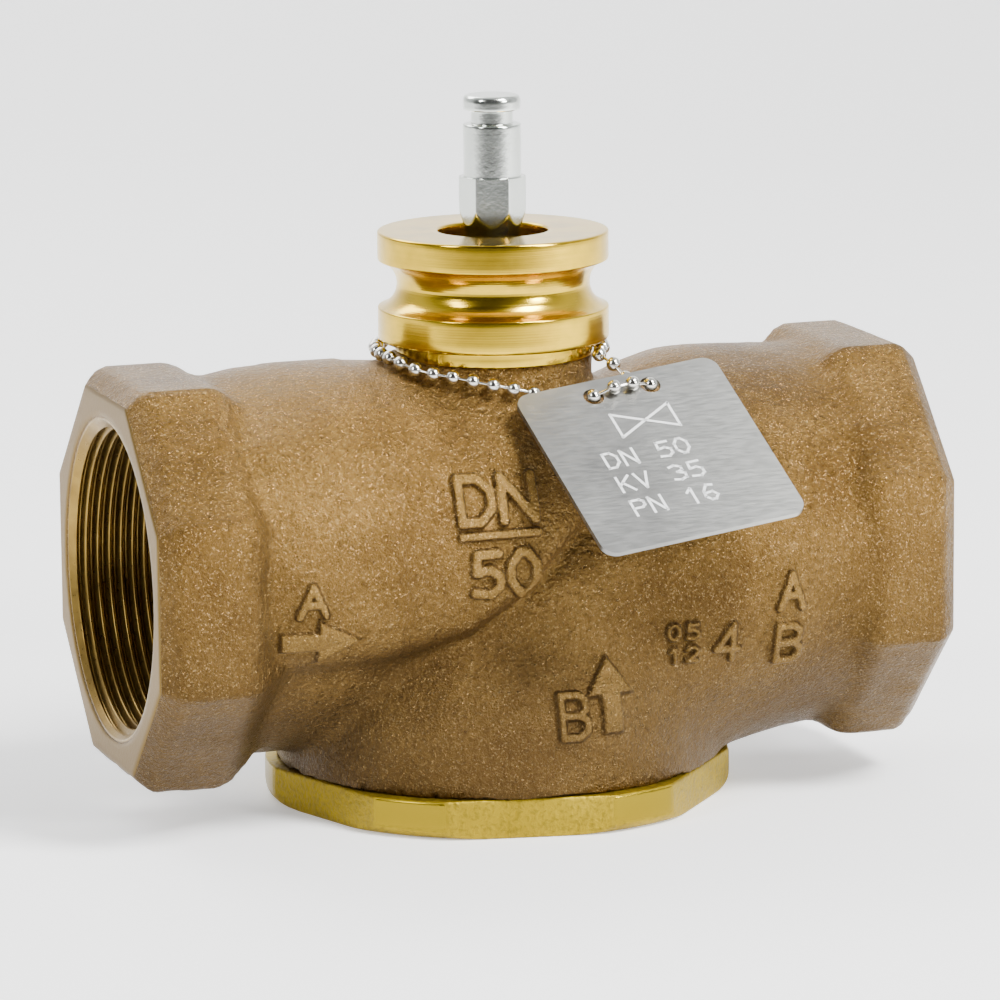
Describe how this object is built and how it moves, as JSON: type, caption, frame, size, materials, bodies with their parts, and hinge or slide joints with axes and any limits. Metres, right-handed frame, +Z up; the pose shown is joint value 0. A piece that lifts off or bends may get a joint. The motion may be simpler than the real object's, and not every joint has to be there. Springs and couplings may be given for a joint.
{
  "type": "zone valve",
  "caption": "Threaded bronze zone valve with a linear stem, grooved brass bonnet for an actuator, hexagonal bottom cap and a data tag on a ball chain.",
  "frame": {"origin": "centre of the bottom cap's flat underside, on the stem axis", "axes": "+Z up the stem, +X along the pipe from port A to port AB"},
  "size_m": [0.1574, 0.1016, 0.1344],
  "materials": {
    "cast_bronze": "sand cast, slightly sparkling, machined at the port faces",
    "bonnet_brass": "turned, bright",
    "cap_brass": "cast flats, turned corners",
    "stainless": "ground stainless steel",
    "zinc_plate": "bright zinc plate",
    "chain_nickel": "nickel plated",
    "tag_aluminium": "brushed sheet, marks cut in",
    "seal_rubber": "matt",
    "seal_ptfe": "smooth white",
    "seal_fibre": "pressed fibre"
  },
  "bodies": {
    "housing": {"valve_body": "cast_bronze", "seat_ring": "stainless", "bottom_cap": "cap_brass", "bottom_cap_gasket": "seal_fibre", "bonnet": "bonnet_brass", "bonnet_o_ring": "seal_rubber", "guide_bush_lower": "bonnet_brass", "packing_washer_lower": "stainless", "packing_spring": "stainless", "packing_washer_upper": "stainless", "packing_v_rings": "seal_ptfe", "guide_bush_upper": "bonnet_brass", "packing_gland_nut": "bonnet_brass", "wiper_seal": "seal_rubber", "chain_beads": "chain_nickel", "chain_links": "chain_nickel", "chain_connector": "chain_nickel"},
    "stem_assembly": {"stem": "stainless", "stem_coupling": "zinc_plate", "valve_plug": "bonnet_brass", "plug_soft_seal": "seal_rubber", "plug_seal_retainer": "stainless", "plug_washer": "stainless", "plug_nut": "stainless", "stem_o_ring": "seal_rubber"},
    "tag": {"id_tag": "tag_aluminium", "tag_chain_beads": "chain_nickel", "tag_chain_links": "chain_nickel"}
  },
  "joints": [
    {"name": "stem_slide", "type": "slide", "parent": "housing", "child": "stem_assembly", "axis": [0, 0, 1], "range_m": [-0.02, 0]},
    {"name": "tag_swing", "type": "hinge", "parent": "housing", "child": "tag", "pos_m": [0.01678, -0.0253, 0.08063], "axis": [-0.9879, -0.106, -0.113], "range_deg": [0, 7]}
  ]
}
